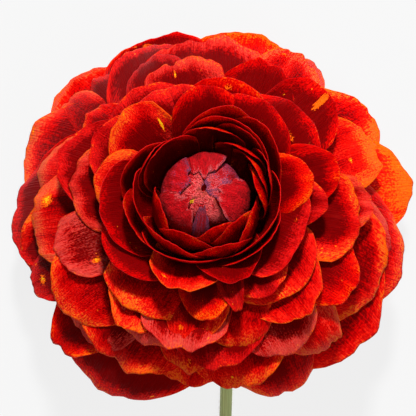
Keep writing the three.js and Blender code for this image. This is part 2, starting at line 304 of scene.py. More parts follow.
# Yellow and orange marks, by the azimuth and reach of the petal that carries them, laid out as
# NO_MARK says.
MARKS = {
    (-161, 42): (0.55, 0.79, 0.8, 1.7, 20, 1.7, 0.9),
    (-177, 48): (-0.41, 0.9, 2.0, 2.3, 0, 1.9, 1),
    (139, 30.5): (-0.7, 0.75, 0.4, 3.4, -14, 3.2, 1),
    (44, 43.5): (-0.05, 0.93, 1.1, 3.9, 2, 3.0, 0),
    (101, 42): (0.2, 0.88, 0.4, 1.4, 0, 1.6, 0.8),
    (78, 32): (0.05, 0.93, 1.0, 0.8, 0, 0.7, 0),
    (56, 28): (-0.1, 0.8, 0.7, 2.2, 0, 0.55, 0),
    (43, 34): (-0.2, 0.78, 1.3, 1.3, 0, 0.6, 0),
    (23, 47.5): (-0.23, 0.79, 0.9, 0.6, 0, 1.3, 1),
    (-160, 51.5): (0.1, 0.9, 1.6, 1.4, 0, 1.6, 1),
    (-96, 44.5): (-0.05, 0.93, 0.6, 1.8, 0, 0.7, 0.6),
    (-79, 48.5): (-0.23, 0.92, 0.6, 0.5, 0, 2.2, 1),
    (61, 51.5): (0.41, 0.95, 1.4, 0.6, 0, 0.8, 0.6),
    (-104, 27.5): (-0.5, 0.93, 1.1, 0.5, 0, 1.3, 0.8),
    (-96, 38.5): (-0.35, 0.9, 0.6, 0.9, 0, 1.6, 0.9),
    (143, 41.5): (0.1, 0.9, 0.3, 0.8, 0, 0.9, 0),
    (-28, 27.5): (0.3, 0.9, 0.4, 0.5, 0, 0.8, 0),
    (-118, 0.3): (-0.2, 0.86, 1.0, 0.9, 0, 2.4, 1),
    (148, 0.2): (-0.6, 0.8, 1.1, 1.1, 0, 0.8, 1),
}

# The closed heart, from the petals that meet at the eye out to the red ones that hold them:
# (azimuth, radius of the tip, half width, roll, (pinkness, lavender)) of each petal.
HEART = (
    (-118, 0.3, 10, 0, (0.5, 0.1)), (148, 0.2, 10, 0, (0.45, 0.3)),
    (22, 0.4, 10, 0, (0.5, 0.9)), (92, 3.2, 6, 0.15, (-0.55, 0.2)),
    (160, 4.4, 8, 0, (-1.0, 0.6)), (-97, 4.7, 2.3, 0, (-0.1, 0.95)),
    (-18, 3.6, 6.5, 0.15, (-0.7, 0.1)), (-146, 5.2, 7, 0.1, (-0.7, 0)),
)

# How a heart petal closes, by the radius of its tip.
CLOSED_HEIGHT = ((-1, 39.3), (2.5, 39.4), (4.5, 38.8), (6.5, 38.1))
CLOSED_ARRIVE = ((-1, 184), (1, 178), (2.5, 174), (4.5, 165), (6.5, 154))
CLOSED_ROOT = ((-1, 2.4), (6.5, 4.2))


def margin_phases(wave):
    """Where the three waves of a petal's margin start."""
    return wave(0, 6.28), wave(0, 6.28), wave(0, 6.28)


def heart_petals():
    """A closed bud of petals whose tips meet at the eye."""
    wave = draws_from(HEART_WAVES)
    petals = []
    for order, (azimuth, radius, half_width, roll, tint) in enumerate(HEART):
        petals.append(Petal(
            azimuth=azimuth,
            root=(along(CLOSED_ROOT, radius), 20),
            tip=(radius, along(CLOSED_HEIGHT, radius) + 0.15 * order),
            leave=28,
            arrive=along(CLOSED_ARRIVE, radius),
            leave_pull=0.62,
            arrive_pull=0.52,
            half_width=half_width,
            shoulder=0.15,
            narrowing=0.35,
            dome=0.1,
            roll=roll,
            tint=tint,
            mark=MARKS.get((azimuth, radius), NO_MARK),
            ripple=0.2,
            curl=wave(-0.2, 0.2),
            notch=0.02,
            torn=0.03,
            crinkle=0.1,
            swell=0.4,
            phases=margin_phases(wave),
        ))
    return petals


# The unopened petals inside the heart, seen only as a dark slit at the eye.
BUD_RADIUS = 8.2
BUD_HEIGHT = 29.5
BUD_SIDES, BUD_RINGS = 40, 24

BOWL_SEED = 29

# The bowl, from the red wraps that hug the heart out to its open rim: (azimuth, radius of the
# tip, half width, roll to one side) of each petal.
BOWL = (
    (-69, 10, 8.5, -0.1), (-152, 12, 8.5, -0.2), (-48, 11.5, 9, -0.1), (4, 12.5, 7.5, 0.3),
    (-115, 13, 8, 0.1), (47, 13.5, 8, 0.3), (23, 13.5, 9, 0.2), (-40, 14, 8.5, 0.4),
    (137, 15, 10, -0.1), (82, 15, 9, 0), (-75, 16, 9, 0), (150, 16, 8, -0.1), (17, 16.5, 8, 0),
    (-125, 17, 10.5, 0), (55, 17.5, 8.5, 0), (-175, 18, 9, 0), (62, 18.5, 14, 0),
    (-29, 19.5, 15, 0), (161, 20, 9.5, -0.3), (-114, 20, 12, 0.1), (79, 21, 9.5, 0.4),
    (-155, 21, 10, 0), (-47, 21.5, 11.5, 0), (40, 21.5, 11.5, -0.1),
)

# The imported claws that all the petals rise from, as (radius, height) round the bloom's axis.
CLAWS = ((0, 0.2), (5.6, 0.3), (6.4, 2.5), (6.8, 7), (6.4, 12), (6.8, 18), (0, 20))

# How a bowl petal stands, by the radius of its tip.
TIP_HEIGHT = ((9, 38.8), (13, 41), (17, 43.4), (20, 42.8), (22.5, 41))
TIP_ARRIVE = ((9, 146), (13, 120), (16, 104), (19, 90), (22.5, 78))
TIP_HUG = ((9, 1.35), (16, 1.3), (20, 1.15), (22.5, 1.1))
ROOT_LEAVE = ((9, 44), (13, 48), (17, 53), (22.5, 56))
ROOT_RADIUS = ((9, 3.5), (22.5, 5.5))
ROOT_HEIGHT = ((9, 16), (22.5, 10))


def bowl_petals():
    """The petals from the red wraps round the heart out to the rim of the bowl."""
    draw = draws_from(BOWL_SEED)
    wave = draws_from(BOWL_SEED + WAVES)
    petals = []
    for azimuth, radius, half_width, roll in BOWL:
        petals.append(Petal(
            azimuth=azimuth,
            root=(along(ROOT_RADIUS, radius), along(ROOT_HEIGHT, radius)),
            tip=(radius, along(TIP_HEIGHT, radius) + draw(-0.6, 0.6)),
            leave=along(ROOT_LEAVE, radius),
            arrive=along(TIP_ARRIVE, radius) + draw(-4, 4),
            leave_pull=0.5,
            arrive_pull=0.4,
            half_width=half_width,
            shoulder=0.22,
            roll=roll,
            hug=along(TIP_HUG, radius),
            tint=MAROON,
            ripple=0.25,
            torn=0.006,
            crinkle=0.08,
            phases=margin_phases(wave),
        ))
    return petals


# The open tiers: (azimuth, reach, half width, tint) of each petal.
OUTER_TIER = (
    (107, 61, 21, BRIGHT), (82, 59.5, 21, ORANGE), (62, 54, 13, DUSTY), (35, 52, 19, EMBER),
    (12, 55, 17, ORANGE), (-14, 54.5, 20, WARM), (-42, 53, 22, WARM), (-67, 53.5, 15, WARM),
    (-96, 47, 14, WARM), (-123, 55.5, 23, MAROON), (-138, 53.5, 12, BRIGHT), (-160, 51.5, 11, RED),
    (-170, 52, 15, WARM), (176, 54, 20, RED), (156, 55.5, 20, HAZY), (132, 61, 19, PALE),
    (116, 57.5, 15, WARM),
)
MIDDLE_TIER = (
    (140, 55.5, 10.5, HAZY), (128, 53, 8, RED), (112, 53, 15, RED), (92, 49.5, 17, FLUSHED),
    (61, 51.5, 11.5, HAZY), (23, 47.5, 11, EMBER), (-13, 48.5, 12.5, DUSTY), (-24, 49, 16, WARM),
    (-52, 49.5, 9.5, HAZY), (-79, 48.5, 13, WARM), (-96, 44.5, 11, WARM), (-122, 48.5, 17, WARM),
    (-133, 48.5, 12, DUSTY), (-177, 48, 13, HAZY), (166, 50.5, 14, HAZY),
)
INNER_TIER = (
    (172, 37, 12, FLUSHED), (159, 41.5, 13, RED), (143, 41.5, 8.5, BRIGHT), (111, 46.5, 10.5, RED),
    (101, 42, 11, FLUSHED), (67, 42, 11, SHADED), (44, 43.5, 11, SHADED), (-1, 43, 8, FLUSHED),
    (-9, 40, 12, WARM), (-31, 44.5, 10.5, BRIGHT), (-50, 39.5, 12, WARM), (-62, 45.5, 11.5, DUSTY),
    (-85, 44, 13, RED), (-100, 40, 11.5, DUSTY), (-113, 41.5, 13, DUSTY), (-121, 39.5, 11, WARM),
    (-145, 47.5, 13, WARM), (-161, 42, 9.5, DUSTY),
)
CROWN_TIER = (
    (170, 28.5, 9.5, WARM), (150, 33.5, 10, RED), (139, 30.5, 10, WARM), (125, 35.5, 13, RED),
    (124, 30, 11, RED), (110, 31, 13, RED), (87, 28.5, 10.5, SHADED), (78, 32, 13, MAROON),
    (56, 28, 12.5, DEEP_SHADE), (43, 34, 14, SHADED), (12, 35, 9, BRIGHT), (7, 27, 8.5, BRIGHT),
    (-4, 30.5, 7.5, RED), (-28, 27.5, 14, RED), (-47, 34, 13.5, WARM), (-57, 30.5, 9.5, RED),
    (-70, 25.5, 9, DEEP_SHADE), (-96, 38.5, 9, WARM), (-90, 33, 7.5, BRIGHT), (-104, 27.5, 9.5, WARM),
    (-121, 35, 13, WARM), (-146, 29.5, 13, DEEP_SHADE), (-168, 27.5, 13, DEEP_SHADE),
    (-76, 40.5, 10, WARM), (-75, 32, 3.6, RED),
)

# Petals that stand apart, by azimuth and reach: how far above the tier, and how steeply one side
# turns up.
SET_APART = {
    (-138, 53.5): (2.2, 0.0), (-121, 39.5): (-0.9, 0.0), (101, 42): (1.6, 0.0),
    (-90, 33): (0.2, 0.3), (-96, 38.5): (0.3, 0.2), (-75, 32): (1.4, 0.5),
}

# How much lower a petal's tip lies for each millimetre that it is longer.
TIER_SLOPE = 0.9


@dataclass
class Tier:
    """How the petals of one tier stand; far and near are the tip heights at the given reach."""

    petals: tuple
    seed: int
    root: tuple
    reach: float
    far: float
    near: float
    leave: float
    arrive: float
    lean: float
    shoulder: float
    edge: dict

    def tip_height(self, azimuth, reach):
        """The far side droops to the table, the near side lifts, a longer petal lies under."""
        level = mix(self.far, self.near, (1 - math.sin(math.radians(azimuth))) / 2)
        return level - TIER_SLOPE * (reach - self.reach)

    def grown(self):
        """The tier's petals, each with its own small differences."""
        draw = draws_from(self.seed)
        wave = draws_from(self.seed + WAVES)
        petals = []
        for azimuth, reach, half_width, tint in self.petals:
            raised, turned_up = SET_APART.get((azimuth, reach), (0.0, 0.0))
            height = self.tip_height(azimuth, reach) + draw(-0.8, 0.8) + raised
            arrive = self.arrive - self.lean * (reach - self.reach) + draw(-10, 10)
            cup = draw(-0.022, 0.008)
            roll = draw(-0.09, 0.09) + turned_up
            shoulder = self.shoulder + draw(-0.06, 0.06)
            skew = draw(-0.04, 0.04)
            petals.append(Petal(
                azimuth=azimuth,
                root=self.root,
                tip=(reach, height),
                leave=self.leave,
                arrive=arrive,
                half_width=half_width,
                shoulder=shoulder,
                skew=skew,
                cup=cup,
                roll=roll,
                curl=wave(-2.0, 1.6),
                tint=tint,
                mark=MARKS.get((azimuth, reach), NO_MARK),
                swell=0.5,
                phases=margin_phases(wave),
                **self.edge,
            ))
        return petals


TIERS = {
    "crown_petals": Tier(
        CROWN_TIER, seed=3, root=(6, 7), reach=32, far=30, near=35, leave=62, arrive=6, lean=4,
        shoulder=0.18, edge=dict(ripple=0.5, notch=0.006, torn=0.008, crinkle=0.12, fold=0.8)),
    "inner_petals": Tier(
        INNER_TIER, seed=5, root=(6, 5), reach=42, far=17, near=27, leave=56, arrive=-24, lean=1.5,
        shoulder=0.18, edge=dict(ripple=0.8, notch=0.010, torn=0.016, crinkle=0.22, fold=1.8)),
    "middle_petals": Tier(
        MIDDLE_TIER, seed=7, root=(6, 3), reach=49, far=2, near=17, leave=50, arrive=-42, lean=1.5,
        shoulder=0.2, edge=dict(ripple=0.9, notch=0.010, torn=0.018, crinkle=0.25, fold=2.0)),
    "outer_petals": Tier(
        OUTER_TIER, seed=13, root=(5.5, 1.4), reach=54, far=-10, near=8, leave=40, arrive=-52,
        lean=1.5, shoulder=0.33,
        edge=dict(ripple=1.0, notch=0.010, torn=0.014, crinkle=0.25, fold=1.6)),
}


# ---- Sizes and colours that a user would change ----

class ButtercupSizes(bpy.types.PropertyGroup):
    """Sizes of the flower's pieces."""

    lift: bpy.props.FloatProperty(
        name="Lift", description="Height of the receptacle's top above the table",
        default=18 * MM, unit="LENGTH", precision=4)
    lean_back: bpy.props.FloatProperty(
        name="Lean back", description="How far the bloom's axis leans away from the stem's cut end",
        default=math.radians(12), subtype="ANGLE")
    lean_side: bpy.props.FloatProperty(
        name="Lean aside", description="How far the bloom's axis leans to the left",
        default=math.radians(3), subtype="ANGLE")
    blade: bpy.props.FloatProperty(
        name="Petal thickness", description="Thickness of a petal",
        default=0.2 * MM, unit="LENGTH", precision=5)
    columns: bpy.props.IntProperty(
        name="Columns", description="Faces across a petal", default=36, min=6)
    rows: bpy.props.IntProperty(
        name="Rows", description="Faces along a petal", default=24, min=6)


def shade(name, description, colour):
    return bpy.props.FloatVectorProperty(
        name=name, description=description, default=colour, subtype="COLOR", size=3, min=0, max=1)


class ButtercupColours(bpy.types.PropertyGroup):
    """Colours of the flower and the floor, linear."""

    # Painted shade: deep red darkens the petals' roots, the shaded petals and the heart's petal
    # roots.
    deep: shade("Deep red", "Shaded, oldest red of a petal", (0.15, 0.0003, 0.0008))
    red: shade("Red", "Common red of a petal", (0.54, 0.0005, 0.0008))
    warm: shade("Warm red", "Orange-red of the lit blades", (0.86, 0.006, 0.001))
    # Partly painted glow: besides the orange petals and marks, orange lights the margins and
    # brightest blades.
    orange: shade("Orange", "Vivid orange of the thinnest petals", (0.95, 0.115, 0.003))
    dust: shade("Dust", "Rosy dust near the margins", (0.66, 0.068, 0.045))
    mauve: shade("Mauve", "Mauve dust on the deeper reds", (0.30, 0.030, 0.050))
    # Partly painted highlight: the thin rim along the petals' edges, lighter where the edges catch
    # light.
    rim: shade("Rim", "Thin rim of the deep red petals", (0.55, 0.006, 0.006))
    yellow: shade("Yellow", "Yellow flecks and streaks", (1.0, 0.5, 0.008))
    pink: shade("Pink", "Velvety pink of the heart", (1.0, 0.11, 0.115))
    velvet: shade("Heart red", "Crimson of the heart's petals", (0.80, 0.002, 0.008))
    lavender: shade("Lavender", "Lavender of the heart's oldest tips", (0.27, 0.05, 0.12))
    stem: shade("Stem", "Green of the stem", (0.58, 0.73, 0.28))
    sepal: shade("Sepal", "Green of the sepals", (0.34, 0.45, 0.16))
    floor: shade("Floor", "Plain pale floor", (0.07, 0.07, 0.07))


# ---- Shader helpers ----

def new_material(name):
    material = bpy.data.materials.new(name)
    material.use_nodes = True
    tree = material.node_tree
    return material, tree, tree.nodes["Principled BSDF"]


def node(tree, kind, **settings):
    made = tree.nodes.new(kind)
    for name, value in settings.items():
        setattr(made, name, value)
    return made


def feed(tree, socket, value):
    """Links an output to a socket, or sets the socket to a plain value; None leaves it."""
    if isinstance(value, bpy.types.NodeSocket):
        tree.links.new(value, socket)
    elif value is not None:
        socket.default_value = value


def set_plain(shader, values):
    """Sets the shader's own sockets to plain values."""
    for name, value in values.items():
        shader.inputs[name].default_value = value


def math_node(tree, operation, a, b=None, clamp=False):
    made = node(tree, "ShaderNodeMath", operation=operation, use_clamp=clamp)
    feed(tree, made.inputs[0], a)
    feed(tree, made.inputs[1], b)
    return made.outputs[0]


def times(tree, a, b, clamp=False):
    return math_node(tree, "MULTIPLY", a, b, clamp)


def ramp_between(tree, value, low, high):
    """0 below low, 1 above high and smooth between; low above high turns it round."""
    made = node(tree, "ShaderNodeMapRange", interpolation_type="SMOOTHSTEP")
    feed(tree, made.inputs["Value"], value)
    if low < high:
        ends = (low, high, 0.0, 1.0)
    else:
        ends = (high, low, 1.0, 0.0)
    for socket, end in zip(made.inputs[1:5], ends):
        socket.default_value = end
    return made.outputs["Result"]


def mix_colour(tree, factor, a, b):
    """Between two colours, each an output or a plain colour."""
    made = node(tree, "ShaderNodeMix", data_type="RGBA")
    feed(tree, made.inputs["Factor"], factor)
    for socket, colour in zip(made.inputs[6:8], (a, b)):
        feed(tree, socket, colour if isinstance(colour, bpy.types.NodeSocket) else (*colour, 1.0))
    return made.outputs[2]


def fade(tree, value, low, high, a, b):
    """From the colour a at low to b at high."""
    return mix_colour(tree, ramp_between(tree, value, low, high), a, b)


def mix_value(tree, factor, a, b):
    made = node(tree, "ShaderNodeMix", data_type="FLOAT")
    feed(tree, made.inputs["Factor"], factor)
    feed(tree, made.inputs[2], a)
    feed(tree, made.inputs[3], b)
    return made.outputs[0]


def attribute(tree, name, kind="Fac"):
    """A number, or with kind Vector three, that each point of the piece carries."""
    return node(tree, "ShaderNodeAttribute", attribute_name=name).outputs[kind]


def vector_of(tree, x, y, z=None):
    made = node(tree, "ShaderNodeCombineXYZ")
    for socket, value in zip(made.inputs, (x, y, z)):
        feed(tree, socket, value)
    return made.outputs[0]


def parts_of(tree, vector):
    """The three numbers of a vector."""
    split = node(tree, "ShaderNodeSeparateXYZ")
    tree.links.new(vector, split.inputs[0])
    return split.outputs


def petal_uv(tree):
    """Place across the petal and out along it, each 0 to 1."""
    return parts_of(tree, node(tree, "ShaderNodeUVMap", uv_map="petal").outputs[0])


def group_sockets(tree, inputs, outputs):
    for name, kind, default in inputs:
        socket = tree.interface.new_socket(name, in_out="INPUT", socket_type=kind)
        if default is not None:
            socket.default_value = default
    for name, kind in outputs:
        tree.interface.new_socket(name, in_out="OUTPUT", socket_type=kind)
    return node(tree, "NodeGroupInput"), node(tree, "NodeGroupOutput")


def grain_group():
    """Fibres along a petal, soft patches, fine speckle and rare flecks, from its own UV map."""
    name = "Petal grain"
    if name in bpy.data.node_groups:
        return bpy.data.node_groups[name]
    tree = bpy.data.node_groups.new(name, "ShaderNodeTree")
    start, end = group_sockets(
        tree,
        (("Seed", "NodeSocketFloat", 0.0), ("Fibres", "NodeSocketFloat", 70.0),
         ("Patches", "NodeSocketFloat", 3.0)),
        (("Fibre", "NodeSocketFloat"), ("Patch", "NodeSocketFloat"),
         ("Speckle", "NodeSocketFloat"), ("Fleck", "NodeSocketFloat")),
    )
    uv = petal_uv(tree)

    def grain(across, lengthwise, depth, detail, offset):
        spread = times(tree, start.outputs["Seed"], depth)
        place = vector_of(
            tree, times(tree, uv[0], across),
            times(tree, uv[1], lengthwise), math_node(tree, "ADD", spread, offset))
        noise = node(tree, "ShaderNodeTexNoise")
        noise.inputs["Scale"].default_value = 1.0
        noise.inputs["Detail"].default_value = detail
        tree.links.new(place, noise.inputs["Vector"])
        return noise.outputs["Fac"]

    fibre = grain(start.outputs["Fibres"], 4.0, 91.0, 2.0, 0.0)
    patch = grain(start.outputs["Patches"], start.outputs["Patches"], 57.0, 3.0, 7.0)
    speckle = grain(60.0, 75.0, 77.0, 1.0, 31.0)
    fleck = grain(30.0, 36.0, 33.0, 1.0, 19.0)
    feed(tree, end.inputs["Fibre"], ramp_between(tree, fibre, 0.32, 0.68))
    feed(tree, end.inputs["Patch"], ramp_between(tree, patch, 0.28, 0.72))
    feed(tree, end.inputs["Speckle"], ramp_between(tree, speckle, 0.35, 0.65))
    feed(tree, end.inputs["Fleck"], ramp_between(tree, fleck, 0.74, 0.80))
    return tree


def grained(tree, fibres, patches):
    grain = node(tree, "ShaderNodeGroup", node_tree=grain_group())
    feed(tree, grain.inputs["Seed"], attribute(tree, "seed"))
    feed(tree, grain.inputs["Fibres"], fibres)
    feed(tree, grain.inputs["Patches"], patches)
    return grain.outputs


def bump(tree, shader, height, distance, strength=1.0):
    made = node(tree, "ShaderNodeBump")
    made.inputs["Distance"].default_value = distance
    made.inputs["Strength"].default_value = strength
    feed(tree, made.inputs["Height"], height)
    tree.links.new(made.outputs["Normal"], shader.inputs["Normal"])


def weighted(tree, constant, *terms):
    """The constant plus each (value, weight) term."""
    total = constant
    for value, weight in terms:
        total_node = node(tree, "ShaderNodeMath", operation="MULTIPLY_ADD")
        feed(tree, total_node.inputs[0], value)
        feed(tree, total_node.inputs[1], weight)
        feed(tree, total_node.inputs[2], total)
        total = total_node.outputs[0]
    return total


def mark_depth(tree):
    """1 in the middle of the petal's mark, 0 at its edge and lower beyond it."""
    uv = petal_uv(tree)
    place = parts_of(tree, attribute(tree, "mark_place", "Vector"))
    size = parts_of(tree, attribute(tree, "mark_size", "Vector"))
    aside = math_node(tree, "SUBTRACT", uv[0], place[0])
    away = vector_of(
        tree, times(tree, aside, size[2]),
        math_node(tree, "SUBTRACT", uv[1], place[1]))
    turn = node(tree, "ShaderNodeVectorRotate", rotation_type="Z_AXIS")
    tree.links.new(away, turn.inputs["Vector"])
    tree.links.new(place[2], turn.inputs["Angle"])
    reach = parts_of(tree, turn.outputs[0])
    squares = []
    for axis in (0, 1):
        share = math_node(tree, "DIVIDE", reach[axis], size[axis])
        squares.append(times(tree, share, share))
    distance = math_node(tree, "SQRT", math_node(tree, "ADD", *squares))
    return math_node(tree, "SUBTRACT", 1.0, distance)


def petal_material(colours):
    """Red tissue with fine fibres, dusted margins and yellow marks, painted shade towards the
    roots, painted glow at the margins and a thin rim that is partly painted highlight.
    """
    material, tree, shader = new_material("petal_skin")
    grain = grained(tree, 110.0, 3.2)
    fibre, patch, speckle = grain["Fibre"], grain["Patch"], grain["Speckle"]
    margin = attribute(tree, "margin")
    warmth_and_light = attribute(tree, "warmth_and_light")
    marginal = ramp_between(tree, margin, 7.5, 0.3)

    # Painted glow: the speckled margins lighten and warm, as thin tissue does with light behind it.
    painted_glow = times(tree, marginal, times(tree, speckle, patch))
    mottle = weighted(tree, -0.42, (patch, 0.42), (fibre, 0.16), (speckle, 0.20), (painted_glow, 0.62))
    mottle = times(tree, mottle, weighted(tree, 0.3, (warmth_and_light, 1.2)))
    # Painted shade: each blade darkens towards its root; painted glow lightens its margin.
    level = weighted(
        tree, -1.96, (warmth_and_light, 1.05), (mottle, 1.0), (petal_uv(tree)[1], 1.65), (marginal, 0.3))
    colour = fade(tree, level, -0.1, 0.3, colours.deep, colours.red)
    colour = fade(tree, level, 0.25, 0.65, colour, colours.warm)
    colour = fade(tree, level, 0.6, 1.0, colour, colours.orange)

    hazy = weighted(tree, 0.0, (patch, 0.9), (fibre, 0.5), (speckle, 0.5), (marginal, 1.1))
    hazy = ramp_between(tree, hazy, 1.25, 2.2)
    dusted = times(tree, hazy, attribute(tree, "dust"), clamp=True)
    powder = fade(tree, warmth_and_light, 0.1, 0.55, colours.mauve, colours.dust)
    colour = mix_colour(tree, dusted, colour, powder)

    flecked = times(tree, grain["Fleck"], ramp_between(tree, margin, 8.0, 1.0))
    flecked = times(tree, flecked, ramp_between(tree, patch, 0.5, 0.8))
    marked = weighted(
        tree, -0.9, (mark_depth(tree), attribute(tree, "mark")), (speckle, 1.0), (fibre, 0.3))
    # Painted glow: orange specks along the edges, most on the warmer petals; the marks and flecks
    # are real.
    sparkle = weighted(
        tree, -1.62, (ramp_between(tree, margin, 2.4, 0.1), 0.65), (speckle, 0.65), (patch, 0.4),
        (warmth_and_light, 0.75))
    marks_and_glow = math_node(tree, "MAXIMUM", math_node(tree, "MAXIMUM", flecked, marked), sparkle)
    colour = fade(tree, marks_and_glow, 0.0, 0.25, colour, colours.orange)
    golden = times(tree, ramp_between(tree, marked, 0.8, 1.25), attribute(tree, "gold"))
    golden = math_node(tree, "MAXIMUM", golden, times(tree, flecked, 0.8))
    colour = mix_colour(tree, golden, colour, colours.yellow)

    # Partly painted highlight: a thin rim along each edge, orange on the warmer petals.
    rim = fade(tree, warmth_and_light, 0.4, 0.8, colours.rim, colours.orange)
    rim_highlight = math_node(tree, "DIVIDE", margin, weighted(tree, 0.06, (warmth_and_light, 0.3)))
    rim_highlight = ramp_between(tree, weighted(tree, 0.0, (rim_highlight, 1.0), (patch, -0.3)), 0.9, 0.1)
    colour = mix_colour(tree, rim_highlight, colour, rim)
    feed(tree, shader.inputs["Base Color"], colour)
    feed(tree, shader.inputs["Roughness"], mix_value(tree, dusted, 0.5, 0.75))
    set_plain(shader, {
        "Subsurface Weight": 0.3,
        "Subsurface Radius": (1.0, 0.06, 0.03),
        "Subsurface Scale": 1.0 * MM,
        "Specular IOR Level": 0.12,
        "Specular Tint": (1.0, 0.05, 0.03, 1.0),
    })
    bump(tree, shader, weighted(tree, 0.0, (fibre, 0.4), (patch, 1.0)), 0.35 * MM)
    return material


def heart_material(colours):
    """Velvety red that fades to pink at the tips and lavender at the margins, with painted shade at
    the roots.
    """
    material, tree, shader = new_material("heart_skin")
    grain = grained(tree, 70.0, 8.0)
    fibre, patch, speckle = grain["Fibre"], grain["Patch"], grain["Speckle"]
    marginal = ramp_between(tree, attribute(tree, "margin"), 1.5, 0.1)
    fading = weighted(
        tree, -3.8, (attribute(tree, "warmth_and_light"), 0.9), (petal_uv(tree)[1], 3.2), (patch, 1.1),
        (speckle, 0.6), (fibre, 0.4), (marginal, 0.6))
    # Painted shade: each heart petal darkens from its tip down to its root, shading the heart's
    # sides.
    shaded = weighted(tree, -1.35, (petal_uv(tree)[1], 2.1), (patch, 0.6), (fibre, 0.3))
    shaded = mix_colour(tree, shaded, colours.deep, colours.velvet)
    colour = fade(tree, fading, 0.1, 0.55, shaded, colours.pink)
    colour = fade(tree, fading, 0.7, 1.3, colour, colours.dust)
    aged = weighted(
        tree, -1.35, (attribute(tree, "dust"), 1.0), (marginal, 0.55), (patch, 0.7),
        (speckle, 0.5))
    colour = fade(tree, aged, -0.1, 0.7, colour, colours.lavender)
    marked = weighted(tree, -0.9, (mark_depth(tree), attribute(tree, "mark")), (speckle, 1.0))
    colour = fade(tree, marked, 0.0, 0.25, colour, colours.yellow)
    feed(tree, shader.inputs["Base Color"], colour)
    set_plain(shader, {
        "Roughness": 0.5,
        "Specular IOR Level": 0.25,
        "Specular Tint": (1.0, 0.45, 0.45, 1.0),
        "Sheen Weight": 0.02,
        "Sheen Roughness": 0.5,
        "Sheen Tint": (1.0, 0.55, 0.65, 1.0),
    })
    bump(tree, shader, weighted(tree, 0.0, (patch, 1.0), (speckle, 0.6), (fibre, 0.4)), 0.7 * MM)
    return material


# The pale pith where the stem is cut.
PITH = (0.66, 0.68, 0.42)


def green_material(name, colour, fibres):
    """Matte green, paler along its fibres, darker in soft patches and pale where it is cut."""
    material, tree, shader = new_material(name)
    grain = grained(tree, fibres, 5.0)
    light = tuple(min(1.0, channel * 1.3 + 0.04) for channel in colour)
    dark = tuple(channel * 0.62 for channel in colour)
    shaded = mix_colour(tree, grain["Patch"], dark, colour)
    shaded = mix_colour(tree, times(tree, grain["Fibre"], 0.6), shaded, light)
    cut = times(tree, attribute(tree, "dust"), 0.8)
    feed(tree, shader.inputs["Base Color"], mix_colour(tree, cut, shaded, PITH))
    set_plain(shader, {"Roughness": 0.55, "Specular IOR Level": 0.3, "Sheen Weight": 0.1})
    bump(tree, shader, grain["Fibre"], 0.12 * MM)
    return material


def hair_material():
    """Pale, fine down."""
    material, _, shader = new_material("down_hairs")
    set_plain(shader, {"Base Color": (0.78, 0.80, 0.62, 1.0), "Roughness": 0.6})
    return material


# ---- Building pieces ----

def bloom_matrix(sizes):
    """Carries the bloom's own millimetres to the table's metres."""
    lean = Matrix.Rotation(-sizes.lean_back, 4, "X") @ Matrix.Rotation(-sizes.lean_side, 4, "Y")
    return Matrix.Translation(ORIGIN + Vector((0, 0, sizes.lift))) @ lean @ Matrix.Scale(MM, 4)


def eased_onto_table(height, lowest):
    """Heights near and under the table are drawn in above it, each still in its order."""
    ease = 1.1 * MM
    lift = height - lowest
    return lowest + (lift + math.hypot(lift, 2 * ease)) / 2


# How closely the rows crowd towards a petal's tip, and the columns towards its sides.
TIP_CROWDING = 1.35
SIDE_CROWDING = 1.25


def lay_uv(mesh, places):
    """Gives the corners of the faces the UV place of their points."""
    uv = mesh.loops.layers.uv["petal"]
    for face in {face for vert in places for face in vert.link_faces}:
        for loop in face.loops:
            loop[uv].uv = places[loop.vert]


def add_blade(mesh, petal, seed, place, sizes):
    """Shapes a grid into the petal and writes what its finish reads."""
    layers = mesh.verts.layers.float
    vectors = mesh.verts.layers.float_vector
    made = bmesh.ops.create_grid(mesh, x_segments=sizes.columns, y_segments=sizes.rows, size=1.0)
    places = {}
    for vert in made["verts"]:
        u = math.copysign(1 - (1 - abs(vert.co.x)) ** SIDE_CROWDING, vert.co.x)
        v = 1 - (1 - (vert.co.y + 1) / 2) ** TIP_CROWDING
        places[vert] = ((u + 1) / 2, v)
        point = place @ petal.point(u, v)
        point.z = eased_onto_table(point.z, sizes.blade / 2)
        vert.co = point
        vert[layers["margin"]] = petal.margin(u, v)
        vert[layers["warmth_and_light"]], vert[layers["dust"]] = petal.tint
        vert[vectors["mark_place"]] = petal.mark_place()
        vert[vectors["mark_size"]] = petal.mark_size()
        vert[layers["mark"]], vert[layers["gold"]] = petal.mark[5:]
        vert[layers["seed"]] = seed
    lay_uv(mesh, places)


def petal_mesh():
    mesh = bmesh.new()
    mesh.loops.layers.uv.new("petal")
    for name in ("margin", "warmth_and_light", "dust", "seed", "mark", "gold"):
        mesh.verts.layers.float.new(name)
    for name in ("mark_place", "mark_size"):
        mesh.verts.layers.float_vector.new(name)
    return mesh


# Edges that turn by more than this stay sharp.
SHARP_ANGLE = math.radians(60)


def finished(name, mesh, material, slot, *nodes):
    """Makes the mesh a piece of the flower that stands for the given CAD nodes."""
    data = bpy.data.meshes.new(name)
    mesh.to_mesh(data)
    mesh.free()
    for polygon in data.polygons:
        polygon.use_smooth = True
    data.set_sharp_from_angle(angle=SHARP_ANGLE)
    data.materials.append(material)
    piece = bpy.data.objects.new(name, data)
    bpy.context.scene.collection.objects.link(piece)
    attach(piece, "root")
    if nodes:
        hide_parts(*nodes)
    return piece


def thicken(piece, thickness):
    wall = piece.modifiers.new("thickness", "SOLIDIFY")
    wall.thickness = thickness
    wall.offset = 0.0
    wall.use_rim = True


def blades(name, petals, material, slot, cad_node, seed):
    """Makes one piece of the petals, each with a grain of its own drawn from the seed."""
    sizes = bpy.context.scene.buttercup_sizes
    place = bloom_matrix(sizes)
    draw = draws_from(seed)
    mesh = petal_mesh()
    for petal in petals:
        add_blade(mesh, petal, draw(0, 1), place, sizes)
    thicken(finished(name, mesh, material, slot, cad_node), sizes.blade)


# Steps round a turned piece, and the height in millimetres that its UV map spans.
TURN_STEPS = 36
TURN_HEIGHT = 20


